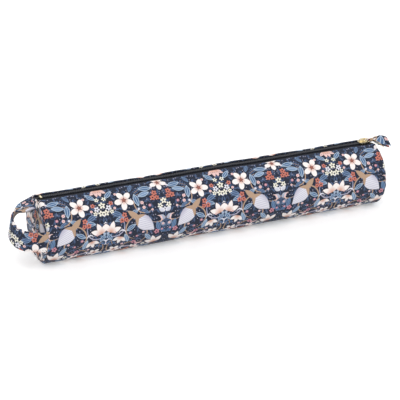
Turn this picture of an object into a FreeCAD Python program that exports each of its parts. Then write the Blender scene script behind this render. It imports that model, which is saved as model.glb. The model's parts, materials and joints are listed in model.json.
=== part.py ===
import FreeCAD, Part
import math
import os

# A zipped round case for brushes: a padded cloth tube with a round panel sewn in each end, a zip
# along the whole top and a cloth loop at the left end. X runs along the tube, the front is -Y and
# Z is up. The origin is the middle of the flattened strip that the case rests on.

os.makedirs("parts", exist_ok=True)
doc = FreeCAD.newDocument("BrushCase")

# Driving dimensions, in millimetres and degrees.
DIMENSIONS = {
    "tube_length": 400.0,
    "tube_radius": 36.0,
    "base_flat_width": 20.0,
    "cloth_thickness": 0.8,
    "padding_thickness": 2.0,
    "lining_thickness": 0.6,
    "layer_gap": 0.05,
    "binding_width": 8.0,
    "binding_thickness": 1.2,
    "mouth_end_margin": 50.0,
    "lip_gap": 0.3,
    "zip_band_width": 14.0,
    "tape_outer_width": 26.0,
    "tape_slot_width": 1.8,
    "tape_thickness": 0.6,
    "tape_margin": 0.4,
    "tooth_pitch": 2.0,
    "tooth_depth": 0.9,
    "tooth_height": 1.6,
    "chain_width": 5.6,
    "chain_slot_width": 1.0,
    "stop_end_margin": 4.5,
    "stop_length": 2.0,
    "stop_height": 1.9,
    "slider_length": 10.0,
    "slider_width": 8.4,
    "slider_plate": 1.0,
    "slider_corner": 1.6,
    "slider_clearance": 0.2,
    "slider_stop_gap": 1.5,
    "slider_flange": 0.8,
    "slider_flange_height": 1.6,
    "slider_post_length": 2.4,
    "slider_post_width": 0.6,
    "tape_clearance": 0.5,
    "bail_length": 6.4,
    "bail_width": 2.0,
    "bail_height": 3.2,
    "bail_wall": 0.6,
    "bail_end_wall": 1.2,
    "ring_radius": 3.4,
    "ring_wire_radius": 0.5,
    "ring_clearance": 0.35,
    "eye_wall": 0.35,
    "eye_half_angle": 24.0,
    "leaf_yaw": -35.0,
    "leaf_length": 24.0,
    "leaf_width": 10.0,
    "leaf_thickness": 1.6,
    "tie_offset": 3.4,
    "tie_length": 1.4,
    "tie_wall": 0.5,
    "twine_radius": 0.45,
    "knot_radius": 1.2,
    "long_tail": 15.0,
    "short_tail": 9.0,
    "tail_spread": 28.0,
    "strap_width": 22.0,
    "strap_cloth": 0.9,
    "strap_backing": 0.7,
    "strap_reach": 31.0,
    "strap_layer_gap": 0.3,
    "strap_edge_inset": 2.6,
    "strap_top_inset": 7.4,
    "strap_top_offset": 8.0,
}
sheet = doc.addObject("Spreadsheet::Sheet", "Sizes")
for row, (alias, value) in enumerate(DIMENSIONS.items(), start=1):
    sheet.set(f"A{row}", alias)
    sheet.set(f"B{row}", str(value))
    sheet.setAlias(f"B{row}", alias)
doc.recompute()


def size(alias):
    """A driving dimension as a number."""
    return float(sheet.get(alias))


def cell(alias):
    """A driving dimension as a term of an expression."""
    return f"Sizes.{alias}"


# Derived terms, each written once as an expression of the driving dimensions.
HALF_LENGTH = f"({cell('tube_length')} / 2)"
AXIS = f"sqrt({cell('tube_radius')}^2 - ({cell('base_flat_width')} / 2)^2)"
PADDING_RADIUS = f"({cell('tube_radius')} - {cell('cloth_thickness')} - {cell('layer_gap')})"
LINING_RADIUS = f"({PADDING_RADIUS} - {cell('padding_thickness')} - {cell('layer_gap')})"
PADDING_INSET = f"({cell('cloth_thickness')} + {cell('layer_gap')})"
LINING_INSET = f"({PADDING_INSET} + {cell('padding_thickness')} + {cell('layer_gap')})"
WALL = f"({LINING_INSET} + {cell('lining_thickness')})"
LIP_HALF = f"({HALF_LENGTH} - {cell('mouth_end_margin')})"
TAPE_RADIUS = PADDING_RADIUS
TEETH_BOTTOM = f"({TAPE_RADIUS} + {cell('layer_gap')})"
TEETH_TOP = f"({TEETH_BOTTOM} + {cell('tooth_height')})"
PLATE_BOTTOM = f"({TEETH_TOP} + {cell('slider_clearance')})"
PLATE_TOP = f"({PLATE_BOTTOM} + {cell('slider_plate')})"
STOP_X = f"({HALF_LENGTH} - {cell('stop_end_margin')})"
SLIDER_X = (
    f"({STOP_X} - {cell('stop_length')} - {cell('slider_stop_gap')} - {cell('slider_length')} / 2)"
)


def number(expression):
    """The value of an expression of the driving dimensions."""
    result = probe.evalExpression(expression)
    return float(getattr(result, "Value", result))


probe = doc.addObject("App::FeaturePython", "Probe")
HALF = number(HALF_LENGTH)
AXIS_Z = number(AXIS)


def bind(item, **expressions):
    """Bind properties of an object to expressions; base_x stands for Placement.Base.x."""
    for name, expression in expressions.items():
        target = name.replace("base_", "Placement.Base.")
        item.setExpression(target, expression)
    return item


def box(name, x, y, z, length, width, height):
    """A box from its low corner and its sizes, all expressions. Z is measured from the tube's axis."""
    item = doc.addObject("Part::Box", name)
    bind(item, Length=length, Width=width, Height=height)
    return bind(item, base_x=x, base_y=y, base_z=f"{AXIS} + {z}")


def rod(name, radius, half):
    """A round bar on the tube's axis, from -half to +half along X."""
    item = doc.addObject("Part::Cylinder", name)
    item.Placement.Rotation = FreeCAD.Rotation(FreeCAD.Vector(0, 1, 0), 90)
    return bind(item, Radius=radius, Height=f"2 * {half}", base_x=f"-{half}", base_z=AXIS)


def combine(kind, name, base, tool):
    """A boolean of two objects."""
    item = doc.addObject(kind, name)
    item.Base = base
    item.Tool = tool
    return item


def together(kind, name, shapes):
    """A boolean of several objects."""
    item = doc.addObject(kind, name)
    item.Shapes = shapes
    return item


def flat_rod(name, radius, half, inset):
    """A round bar with its underside cut flat at a height of inset above the resting plane."""
    round_bar = rod(name + "_round", radius, half)
    low = f"({inset} - {AXIS})"
    span = box(name + "_span", f"-{half}", f"-{radius}", low, f"2 * {half}", f"2 * {radius}",
               f"{AXIS} + 2 * {radius}")
    return combine("Part::Common", name, round_bar, span)


def layer(name, radius, thickness, half, inset):
    """One cloth layer of the tube, with the flattened strip below."""
    outside = flat_rod(name + "_outside", radius, half, inset)
    inside = flat_rod(name + "_inside", f"({radius} - {thickness})", half,
                      f"({inset} + {thickness})")
    return combine("Part::Cut", name, outside, inside)


def upper_box(name, x_half, y_low, y_high, lift="0"):
    """A box over the upper half of the tube, between two Y expressions."""
    width = f"({y_high}) - ({y_low})"
    return box(name, f"-{x_half}", y_low, lift, f"2 * {x_half}", width,
               f"2 * {cell('tube_radius')}")


parts = []


def keep(item, label):
    """Make an object a sub-part; its label names its node and its file."""
    item.Label = label
    parts.append(item)
    return item


# The three layers of the tube: printed cloth, padding and lining. The zip's slot is open along the
# whole top. Between the end margins the two upper quarters are the lips of the mouth.
RADIUS = cell("tube_radius")
CLEAR = f"({RADIUS} + 1)"
BAND_HALF = f"({cell('zip_band_width')} / 2)"
TAPE_HALF = f"({cell('tape_outer_width')} / 2)"
PADDING_STOP = f"({TAPE_HALF} + {cell('tape_margin')})"
MOUTH_HALF = f"({LIP_HALF} + {cell('lip_gap')})"
mouth_zone = upper_box("mouth_zone", MOUTH_HALF, f"-{CLEAR}", CLEAR)

LAYERS = {
    # name: outer radius, thickness, half length, height of its underside, half width of its slot
    "cloth": (RADIUS, cell("cloth_thickness"), f"({HALF_LENGTH} - {PADDING_INSET})", "0", BAND_HALF),
    "padding": (PADDING_RADIUS, cell("padding_thickness"), f"({HALF_LENGTH} - {LINING_INSET})",
                PADDING_INSET, PADDING_STOP),
    "lining": (LINING_RADIUS, cell("lining_thickness"),
               f"({HALF_LENGTH} - {WALL} - {cell('layer_gap')})", LINING_INSET, BAND_HALF),
}
CASE_NAMES = {"cloth": "outer_panel", "padding": "padding", "lining": "lining"}
for kind, (radius, thickness, half, inset, slot) in LAYERS.items():
    whole = layer(f"{kind}_layer", radius, thickness, half, inset)
    slot_zone = upper_box(f"{kind}_slot", half, f"-{slot}", slot)
    openings = together("Part::MultiFuse", f"{kind}_openings", [mouth_zone, slot_zone])
    keep(combine("Part::Cut", f"{kind}_case", whole, openings), CASE_NAMES[kind])
    for side, y_low, y_high in (("front", f"-{CLEAR}", f"-{slot}"), ("back", slot, CLEAR)):
        quarter = upper_box(f"{side}_{kind}_zone", LIP_HALF, y_low, y_high, cell("lip_gap"))
        lip = combine("Part::Common", f"{side}_{kind}_quarter", whole, quarter)
        keep(lip, f"{side}_lip_{kind}")


# The round end panels: a disc of each layer, one inside the other, closes the tube at both ends.
def disc(name, radius, thickness, depth, inset, side):
    """A disc whose outer face lies depth inside the end of the tube; side is -1 left, +1 right."""
    item = doc.addObject("Part::Cylinder", name + "_round")
    item.Placement.Rotation = FreeCAD.Rotation(FreeCAD.Vector(0, 1, 0), 90)
    face = f"({HALF_LENGTH} - {depth})"
    start = f"{face} - {thickness}" if side > 0 else f"-{face}"
    bind(item, Radius=radius, Height=thickness, base_x=start, base_z=AXIS)
    low = f"({inset} - {AXIS})"
    span = box(name + "_span", start, f"-{radius}", low, thickness, f"2 * {radius}",
               f"{AXIS} + 2 * {radius}")
    return combine("Part::Common", name, item, span)


DISCS = {
    # name: radius, thickness, depth of its face inside the tube's end, height of its underside
    "panel": (RADIUS, cell("cloth_thickness"), "0", "0"),
    "padding": (PADDING_RADIUS, cell("padding_thickness"), PADDING_INSET, PADDING_INSET),
    "lining": (LINING_RADIUS, cell("lining_thickness"), LINING_INSET, LINING_INSET),
}
ENDS = (("left", -1), ("right", 1))
for kind, (radius, thickness, depth, inset) in DISCS.items():
    for end, side in ENDS:
        keep(disc(f"{end}_{kind}_disc", radius, thickness, depth, inset, side), f"{end}_end_{kind}")

# The bias tape that binds the raw edge of each end seam, on the inside of the lining.
BINDING_RADIUS = f"({LINING_RADIUS} - {cell('lining_thickness')} - {cell('layer_gap')})"
BINDING_INSET = f"({WALL} + {cell('layer_gap')})"
BINDING_DEPTH = f"({WALL} + {cell('layer_gap')})"
for end, side in ENDS:
    outer = disc(f"{end}_binding_outer", BINDING_RADIUS, cell("binding_width"), BINDING_DEPTH,
                 BINDING_INSET, side)
    inner = disc(f"{end}_binding_inner", f"({BINDING_RADIUS} - {cell('binding_thickness')})",
                 cell("binding_width"), BINDING_DEPTH,
                 f"({BINDING_INSET} + {cell('binding_thickness')})", side)
    keep(combine("Part::Cut", f"{end}_binding", outer, inner), f"{end}_seam_binding")

# The zip's woven tapes, just under the printed cloth, on each side of the zip's centre line.
tape_outer = rod("tape_outer", TAPE_RADIUS, f"({HALF_LENGTH} - {PADDING_INSET})")
tape_inner = rod("tape_inner", f"({TAPE_RADIUS} - {cell('tape_thickness')})",
                 f"({HALF_LENGTH} - {PADDING_INSET})")
tape_layer = combine("Part::Cut", "tape_layer", tape_outer, tape_inner)
TAPE_IN = f"({cell('tape_slot_width')} / 2)"
TAPE_END = f"({HALF_LENGTH} - {LINING_INSET})"
SIDES = (("front", f"-{TAPE_HALF}"), ("back", TAPE_IN))
for side, y_low in SIDES:
    zone = box(f"{side}_tape_zone", f"-{LIP_HALF}", y_low, "0", f"2 * {LIP_HALF}",
               f"{TAPE_HALF} - {TAPE_IN}", f"2 * {RADIUS}")
    keep(combine("Part::Common", f"{side}_tape", tape_layer, zone), f"{side}_zip_tape")
for end, side in ENDS:
    start = MOUTH_HALF if side > 0 else f"-{TAPE_END}"
    strips = [
        box(f"{end}_{name}_tape_zone", start, y_low, "0", f"{TAPE_END} - {MOUTH_HALF}",
            f"{TAPE_HALF} - {TAPE_IN}", f"2 * {RADIUS}")
        for name, y_low in SIDES
    ]
    both = together("Part::MultiFuse", f"{end}_tape_zones", strips)
    keep(combine("Part::Common", f"{end}_tape", tape_layer, both), f"zip_tape_{end}_end")


# The rows of teeth, standing on the tapes. The two rows are offset by half a pitch.
def tooth_row(x_low, x_high, sign):
    """One comb of teeth between two X places, on the -Y or +Y side of the centre line."""
    pitch = size("tooth_pitch")
    root = size("chain_width") / 2
    tip = size("chain_slot_width") / 2
    valley = tip + size("tooth_depth")
    count = int((x_high - x_low - pitch) / pitch)
    start = x_low + pitch / 4 + (pitch / 2 if sign > 0 else 0)
    points = [(x_low, root), (x_low, valley)]
    for index in range(count):
        left = start + index * pitch
        points += [(left, valley), (left + pitch * 0.1, tip), (left + pitch * 0.5, tip),
                   (left + pitch * 0.6, valley)]
    points += [(x_high, valley), (x_high, root), (x_low, root)]
    low = AXIS_Z + number(TEETH_BOTTOM)
    wire = Part.makePolygon([FreeCAD.Vector(x, sign * y, low) for x, y in points])
    return Part.Face(wire).extrude(FreeCAD.Vector(0, 0, size("tooth_height")))


def feature(name, shape, label):
    """A sub-part whose shape is made by Part's own functions."""
    item = doc.addObject("Part::Feature", name)
    item.Shape = shape
    return keep(item, label)


lip_half = number(LIP_HALF)
chain_end = number(STOP_X) - size("stop_length") - size("layer_gap")
feature("front_teeth", tooth_row(-lip_half, lip_half, -1), "front_zip_teeth")
feature("back_teeth", tooth_row(-lip_half, lip_half, 1), "back_zip_teeth")
mouth_half = number(MOUTH_HALF)
for end, x_low, x_high in (("left", -chain_end, -mouth_half), ("right", mouth_half, chain_end)):
    rows = [tooth_row(x_low, x_high, sign) for sign in (-1, 1)]
    feature(f"{end}_chain", Part.makeCompound(rows), f"zip_chain_{end}_end")

# The metal stops that keep the slider on the chain.
CHAIN_HALF = f"({cell('chain_width')} / 2)"
CHAIN_IN = f"({cell('chain_slot_width')} / 2)"
bottom_stop = box("bottom_stop_bar", f"-{STOP_X}", f"-{CHAIN_HALF}", TEETH_BOTTOM,
                  cell("stop_length"), cell("chain_width"), cell("stop_height"))
keep(bottom_stop, "bottom_stop")
stop_pair = [
    box(f"{side}_top_stop", f"{STOP_X} - {cell('stop_length')}", y_low, TEETH_BOTTOM,
        cell("stop_length"), f"{CHAIN_HALF} - {CHAIN_IN}", cell("stop_height"))
    for side, y_low in (("front", f"-{CHAIN_HALF}"), ("back", CHAIN_IN))
]
keep(together("Part::MultiFuse", "top_stop_pair", stop_pair), "top_stops")

# The slider, parked at the closed end: two plates with rounded corners, side flanges that run
# outside the teeth, and a thin post that parts the two rows.
SLIDER_HALF = f"({cell('slider_length')} / 2)"
SLIDER_SIDE = f"({cell('slider_width')} / 2)"
LOWER_TOP = f"({TAPE_RADIUS} - {cell('tape_thickness')} - {cell('tape_clearance')})"


def plate(name, z):
    """A slider plate with its four upright edges rounded."""
    blank = box(name + "_blank", f"{SLIDER_X} - {SLIDER_HALF}", f"-{SLIDER_SIDE}", z,
                cell("slider_length"), cell("slider_width"), cell("slider_plate"))
    doc.recompute()
    upright = [
        index for index, edge in enumerate(blank.Shape.Edges, start=1)
        if abs(edge.tangentAt(edge.FirstParameter).z) > 0.5
    ]
    item = doc.addObject("Part::Fillet", name)
    item.Base = blank
    item.Edges = [(index, size("slider_corner"), size("slider_corner")) for index in upright]
    return item


FLANGE_SPAN = f"({cell('slider_length')} - 2 * {cell('slider_corner')})"
FLANGE_X = f"{SLIDER_X} - {SLIDER_HALF} + {cell('slider_corner')}"
slider_pieces = [plate("upper_plate", PLATE_BOTTOM),
                 plate("lower_plate", f"({LOWER_TOP} - {cell('slider_plate')})")]
for side, y_low in (("front", f"-{SLIDER_SIDE}"),
                    ("back", f"{SLIDER_SIDE} - {cell('slider_flange')}")):
    slider_pieces.append(
        box(f"{side}_flange", FLANGE_X, y_low,
            f"({PLATE_BOTTOM} - {cell('slider_flange_height')})", FLANGE_SPAN,
            cell("slider_flange"), f"{cell('slider_flange_height')} + {cell('slider_plate')} / 2"))
slider_pieces.append(
    box("slider_post", f"{SLIDER_X} + {SLIDER_HALF} - {cell('slider_corner')} - "
        f"{cell('slider_post_length')}", f"-{cell('slider_post_width')} / 2",
        f"({LOWER_TOP} - {cell('slider_plate')} / 2)", cell("slider_post_length"),
        cell("slider_post_width"), f"{PLATE_BOTTOM} - {LOWER_TOP} + {cell('slider_plate')}"))
keep(together("Part::MultiFuse", "slider_casting", slider_pieces), "slider_body")

# The bail, an arch across the slider that the pull ring hangs in.
bail_block = box("bail_block", f"{SLIDER_X} - {cell('bail_length')} / 2",
                 f"-{cell('bail_width')} / 2", PLATE_TOP, cell("bail_length"),
                 cell("bail_width"), cell("bail_height"))
bail_tunnel = box("bail_tunnel",
                  f"{SLIDER_X} - {cell('bail_length')} / 2 + {cell('bail_end_wall')}",
                  f"-{cell('bail_width')}", f"({PLATE_TOP} + {cell('bail_wall')})",
                  f"{cell('bail_length')} - 2 * {cell('bail_end_wall')}",
                  f"2 * {cell('bail_width')}", f"{cell('bail_height')} - 2 * {cell('bail_wall')}")
keep(combine("Part::Cut", "bail_arch", bail_block, bail_tunnel), "slider_bail")

# The pull ring lies flat, its wire through the bail.
RING_Z = f"({PLATE_TOP} + {cell('bail_height')} / 2)"
RING_X = f"({SLIDER_X} + {cell('ring_radius')})"


def ring(name, wire_radius):
    """A ring of the pull ring's radius in its place."""
    item = doc.addObject("Part::Torus", name)
    bind(item, Radius1=cell("ring_radius"), Radius2=wire_radius)
    return bind(item, base_x=RING_X, base_z=f"{AXIS} + {RING_Z}")


keep(ring("ring_wire", cell("ring_wire_radius")), "pull_ring")

# The leaf: a folded strip of the printed cloth whose eye runs round the ring. It points along
# leaf_yaw, away from the ring's centre, and a twine tie gathers its neck.
hole_radius = size("ring_wire_radius") + size("ring_clearance")
ring_centre = FreeCAD.Vector(number(RING_X), 0, AXIS_Z + number(RING_Z))
eye_reach = size("ring_radius") + hole_radius


def turned(shape):
    """Turn a shape made along +X from the ring's centre to the leaf's direction."""
    placed = shape.copy()
    placed.rotate(FreeCAD.Vector(), FreeCAD.Vector(0, 0, 1), size("leaf_yaw"))
    placed.translate(ring_centre)
    return placed


def bar(x_low, x_high, y_half, z_half):
    """A bar along X, centred on Y and Z."""
    corner = FreeCAD.Vector(x_low, -y_half, -z_half)
    return Part.makeBox(x_high - x_low, 2 * y_half, 2 * z_half, corner)


leaf_start = size("ring_radius")
leaf_tip = leaf_start + size("leaf_length")
middle = (leaf_start + leaf_tip) / 2
low = -size("leaf_thickness") / 2
half_width = size("leaf_width") / 2
near = FreeCAD.Vector(leaf_start, 0, low)
tip = FreeCAD.Vector(leaf_tip, 0, low)
edges = [
    Part.Arc(near, FreeCAD.Vector(middle, half_width, low), tip).toShape(),
    Part.Arc(tip, FreeCAD.Vector(middle, -half_width, low), near).toShape(),
]
blade = Part.Face(Part.Wire(edges)).extrude(FreeCAD.Vector(0, 0, size("leaf_thickness")))
eye = Part.makeTorus(size("ring_radius"), hole_radius + size("eye_wall"), FreeCAD.Vector(),
                     FreeCAD.Vector(0, 0, 1), 0, 360, 2 * size("eye_half_angle"))
eye.rotate(FreeCAD.Vector(), FreeCAD.Vector(0, 0, 1), -size("eye_half_angle"))
hole = Part.makeTorus(size("ring_radius"), hole_radius)
leaf = eye.fuse(blade).cut(hole)
feature("leaf", turned(leaf), "leaf_pull")

# The twine: a band round the neck of the leaf, a knot on top and two short tails.
tie_x = eye_reach + size("tie_offset")
sag = (half_width ** 2 + (size("leaf_length") / 2) ** 2) / (2 * half_width)
tie_end = tie_x + size("tie_length")
neck_half = math.sqrt(sag ** 2 - (tie_end - middle) ** 2) - (sag - half_width)
inner_y = neck_half + size("layer_gap")
inner_z = size("leaf_thickness") / 2 + size("layer_gap")
band = bar(tie_x, tie_end, inner_y + size("tie_wall"), inner_z + size("tie_wall"))
band = band.cut(bar(tie_x - 1, tie_end + 1, inner_y, inner_z))
knot_place = FreeCAD.Vector(
    (tie_x + tie_end) / 2, 0, inner_z + size("knot_radius") * 0.9 + size("layer_gap"))
knot = Part.makeSphere(size("knot_radius"), knot_place)
tails = []
for length, angle in ((size("long_tail"), -size("tail_spread")),
                      (size("short_tail"), size("tail_spread"))):
    heading = FreeCAD.Vector(math.cos(math.radians(angle)), math.sin(math.radians(angle)), 0)
    tails.append(Part.makeCylinder(size("twine_radius"), length, knot_place, heading))
twine = band.fuse([knot.cut(bar(tie_x - 2, tie_end + 2, inner_y, inner_z))] + tails)
feature("twine", turned(twine.removeSplitter()), "leaf_tie")

# The loop at the left end: a printed strip backed with plain cloth. One end is sewn in the front of
# the end seam, standing upright, and the other at the top beside the zip, lying flat.
front_y = -(size("tube_radius") - size("strap_edge_inset") + size("strap_cloth") / 2)
top_z = size("tube_radius") - size("strap_top_inset")
reach = size("strap_reach")
STATIONS = [
    # out from the end panel, across, up from the axis, and the direction that the outer face looks
    ((0.0, front_y, 0.0), (0, -1, 0)),
    ((0.45 * reach, front_y + 1.8, 1.5), (-0.15, -1, 0)),
    ((0.84 * reach, front_y + 10, 4.0), (-0.65, -0.8, 0.05)),
    ((1.00 * reach, front_y + 23, 10.0), (-1, -0.05, 0.1)),
    ((0.80 * reach, 0.4 * size("strap_top_offset"), 0.60 * top_z), (-0.85, 0.45, 0.30)),
    ((0.38 * reach, size("strap_top_offset"), 0.84 * top_z), (-0.40, 0.0, 0.92)),
    ((0.0, size("strap_top_offset"), top_z), (0, -0.15, 1)),
]
points = [FreeCAD.Vector(-HALF - x, y, AXIS_Z + z) for (x, y, z), _ in STATIONS]
facings = [FreeCAD.Vector(*facing) for _, facing in STATIONS]
line = Part.BSplineCurve()
line.interpolate(Points=points, InitialTangent=FreeCAD.Vector(-1, 0, 0),
                 FinalTangent=FreeCAD.Vector(1, 0, 0))
SECTIONS_PER_SPAN = 4


def strap_layer(inner, outer):
    """A strip that follows the loop, between two offsets from its middle face."""
    wires = []
    spans = len(points) - 1
    for index in range(spans * SECTIONS_PER_SPAN + 1):
        share = index / SECTIONS_PER_SPAN
        low_station = min(int(share), spans - 1)
        blend = share - low_station
        parameters = [line.parameter(points[low_station]), line.parameter(points[low_station + 1])]
        place = parameters[0] * (1 - blend) + parameters[1] * blend
        tangent = FreeCAD.Vector(*line.tangent(place)[0]).normalize()
        facing = facings[low_station] * (1 - blend) + facings[low_station + 1] * blend
        facing = (facing - tangent * facing.dot(tangent)).normalize()
        across = tangent.cross(facing) * (size("strap_width") / 2)
        centre = line.value(place)
        corners = [centre + across + facing * outer, centre - across + facing * outer,
                   centre - across + facing * inner, centre + across + facing * inner]
        wires.append(Part.makePolygon(corners + corners[:1]))
    return Part.makeLoft(wires, True, True)


seam = size("strap_layer_gap") / 2
feature("strap_outside", strap_layer(seam, size("strap_cloth")), "handle_strap")
feature("strap_inside", strap_layer(-size("strap_backing"), -seam), "handle_backing")

# Every object must have computed, and every sub-part must be a valid solid, before any is written.
doc.recompute()
for item in doc.Objects:
    if "Invalid" in item.State or "Error" in item.State:
        raise RuntimeError(f"{item.Name} did not compute: {item.State}")
for item in parts:
    if item.Shape.isNull() or not item.Shape.isValid() or not item.Shape.Solids:
        raise RuntimeError(f"{item.Label} has no valid shape")
for item in parts:
    item.Shape.exportStep(f"parts/{item.Label}.step")
    print(item.Label, len(item.Shape.Solids), round(item.Shape.Volume, 1))
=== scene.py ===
import json
import math

import bmesh
import bpy
from mathutils import Matrix, Vector, noise
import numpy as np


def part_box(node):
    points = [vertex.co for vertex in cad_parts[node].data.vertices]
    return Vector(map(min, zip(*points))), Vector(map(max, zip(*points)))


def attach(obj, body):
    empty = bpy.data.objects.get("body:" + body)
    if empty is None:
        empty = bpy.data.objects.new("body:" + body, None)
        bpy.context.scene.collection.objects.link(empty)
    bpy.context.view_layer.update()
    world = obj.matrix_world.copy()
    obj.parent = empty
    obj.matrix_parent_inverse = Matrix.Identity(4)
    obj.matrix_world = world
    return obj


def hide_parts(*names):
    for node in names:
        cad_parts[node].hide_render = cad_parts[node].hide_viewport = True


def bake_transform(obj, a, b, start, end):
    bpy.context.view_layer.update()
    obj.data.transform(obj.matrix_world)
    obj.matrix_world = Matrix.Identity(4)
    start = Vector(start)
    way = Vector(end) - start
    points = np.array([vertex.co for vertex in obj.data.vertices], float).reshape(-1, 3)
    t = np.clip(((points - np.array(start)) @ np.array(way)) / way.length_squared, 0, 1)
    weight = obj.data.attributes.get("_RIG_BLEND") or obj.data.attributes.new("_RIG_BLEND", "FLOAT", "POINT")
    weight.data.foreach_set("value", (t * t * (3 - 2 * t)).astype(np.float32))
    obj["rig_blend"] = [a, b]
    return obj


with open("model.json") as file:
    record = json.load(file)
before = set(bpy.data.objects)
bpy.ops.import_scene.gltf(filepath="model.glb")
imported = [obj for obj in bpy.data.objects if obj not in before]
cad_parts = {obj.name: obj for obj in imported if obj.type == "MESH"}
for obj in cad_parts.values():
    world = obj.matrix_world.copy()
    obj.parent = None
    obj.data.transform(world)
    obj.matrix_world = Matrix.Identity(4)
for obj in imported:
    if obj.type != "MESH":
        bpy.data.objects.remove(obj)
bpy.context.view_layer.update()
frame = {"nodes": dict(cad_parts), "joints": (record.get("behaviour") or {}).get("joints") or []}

# ---------------------------------------------------------------------------------------------
# The view, the table and the light. A long lens looks down at the case from its left front. The
# table is white and runs back without an edge, and two large soft boxes light the case evenly.
scene = bpy.context.scene
scene.view_settings.view_transform = "Standard"

VIEW_AZIMUTH = math.radians(-24.13)
VIEW_ELEVATION = math.radians(23.33)
VIEW_DISTANCE = 1.8926
VIEW_TARGET = Vector((-0.0126, 0.0, 0.0357))
camera_data = bpy.data.cameras.new("view")
camera_data.sensor_width = 36.0
camera_data.lens = 156.5
camera_data.clip_end = 50.0
camera = bpy.data.objects.new("view", camera_data)
scene.collection.objects.link(camera)
scene.camera = camera
back = Vector((
    math.sin(VIEW_AZIMUTH) * math.cos(VIEW_ELEVATION),
    -math.cos(VIEW_AZIMUTH) * math.cos(VIEW_ELEVATION),
    math.sin(VIEW_ELEVATION),
))
camera.location = VIEW_TARGET + back * VIEW_DISTANCE
camera.rotation_euler = back.to_track_quat("Z", "Y").to_euler()


LIGHT_AIM = Vector((0, 0, 0.03))


def soft_box(name, place, size, power):
    """A square soft light that shines at the case from a place."""
    lamp = bpy.data.lights.new(name, "AREA")
    lamp.shape = "SQUARE"
    lamp.size = size
    lamp.energy = power
    holder = bpy.data.objects.new(name, lamp)
    holder.location = place
    holder.rotation_euler = (Vector(place) - LIGHT_AIM).to_track_quat("Z", "Y").to_euler()
    scene.collection.objects.link(holder)


soft_box("key", (-0.9, -1.3, 1.7), 1.3, 17)
soft_box("fill", (1.2, -0.9, 1.2), 1.2, 6)
soft_box("rim", (0.1, 1.3, 1.4), 1.2, 7)


def seen_rays(nodes):
    """A socket that is 1 on rays that show a surface: seen straight, mirrored or through."""
    path = nodes.nodes.new("ShaderNodeLightPath")
    seen = path.outputs["Is Camera Ray"]
    for kind in ("Is Glossy Ray", "Is Transmission Ray"):
        either = nodes.nodes.new("ShaderNodeMath")
        either.operation = "MAXIMUM"
        nodes.links.new(seen, either.inputs[0])
        nodes.links.new(path.outputs[kind], either.inputs[1])
        seen = either.outputs[0]
    return seen


# The room lights the case softly, and shows as plain white.
SKY_LIGHT = 0.62
world = bpy.data.worlds.new("studio")
scene.world = world
world.use_nodes = True
sky = world.node_tree
sky_light = sky.nodes["Background"]
sky_light.inputs["Color"].default_value = (1, 1, 1, 1)
sky_light.inputs["Strength"].default_value = SKY_LIGHT
sky_seen = sky.nodes.new("ShaderNodeBackground")
sky_seen.inputs["Strength"].default_value = 1.0
sky_mix = sky.nodes.new("ShaderNodeMixShader")
sky.links.new(seen_rays(sky), sky_mix.inputs[0])
sky.links.new(sky_light.outputs[0], sky_mix.inputs[1])
sky.links.new(sky_seen.outputs[0], sky_mix.inputs[2])
sky.links.new(sky_mix.outputs[0], sky.nodes["World Output"].inputs["Surface"])


def piece_from(bm, name):
    """A new object from a bmesh, which it frees."""
    mesh = bpy.data.meshes.new(name)
    bm.to_mesh(mesh)
    bm.free()
    thing = bpy.data.objects.new(name, mesh)
    scene.collection.objects.link(thing)
    return thing


def new_material(name):
    """A material's tree and its Principled shader."""
    material = bpy.data.materials.new(name)
    material.use_nodes = True
    return material, material.node_tree, material.node_tree.nodes["Principled BSDF"]


TABLE_SIZE = 6.0
TABLE_WHITE = 0.86
TABLE_GLOW = 0.34  # added only where the table is seen, so that it reads as white
bm = bmesh.new()
bmesh.ops.create_grid(bm, x_segments=1, y_segments=1, size=TABLE_SIZE)
table_top = piece_from(bm, "table_top")
table_finish, tree, shader = new_material("white_table")
shader.inputs["Base Color"].default_value = (TABLE_WHITE, TABLE_WHITE, TABLE_WHITE, 1)
shader.inputs["Roughness"].default_value = 0.9
glow = tree.nodes.new("ShaderNodeEmission")
lift = tree.nodes.new("ShaderNodeMath")
lift.operation = "MULTIPLY"
lift.inputs[1].default_value = TABLE_GLOW
tree.links.new(seen_rays(tree), lift.inputs[0])
tree.links.new(lift.outputs[0], glow.inputs["Strength"])
both = tree.nodes.new("ShaderNodeAddShader")
tree.links.new(shader.outputs[0], both.inputs[0])
tree.links.new(glow.outputs[0], both.inputs[1])
tree.links.new(both.outputs[0], tree.nodes["Material Output"].inputs["Surface"])
table_top.data.materials.append(table_finish)

# ---------------------------------------------------------------------------------------------
# The printed cotton. Plain-woven cotton with an all-over print on navy: white blossoms, lavender
# buds, lotus flowers, coral and cream florets, blue leaves and beige tendrils, mirrored in turn.


def dye(code):
    """A linear colour from a six-digit colour code."""
    channels = [int(code[i:i + 2], 16) / 255 for i in (0, 2, 4)]
    linear = [c / 12.92 if c <= 0.04045 else ((c + 0.055) / 1.055) ** 2.4 for c in channels]
    return (*linear, 1.0)


def feed(tree, socket, value):
    """Gives an input another socket's result or a plain value."""
    if isinstance(value, bpy.types.NodeSocket):
        tree.links.new(value, socket)
    else:
        socket.default_value = value


def add(tree, kind, *inputs, **settings):
    """A node with its settings and inputs; an input is a socket, a value or None."""
    item = tree.nodes.new(kind)
    for name, value in settings.items():
        setattr(item, name, value)
    for index, value in enumerate(inputs):
        if value is not None:
            feed(tree, item.inputs[index], value)
    return item


def calc(tree, operation, a, b=None, c=None):
    """A Math node's result."""
    return add(tree, "ShaderNodeMath", a, b, c, operation=operation).outputs[0]


def paint(tree, mask, below, above):
    """One colour over another where the mask is 1."""
    item = tree.nodes.new("ShaderNodeMix")
    item.data_type = "RGBA"
    for index, value in ((0, mask), (6, below), (7, above)):
        feed(tree, item.inputs[index], value)
    return item.outputs[2]


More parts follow.
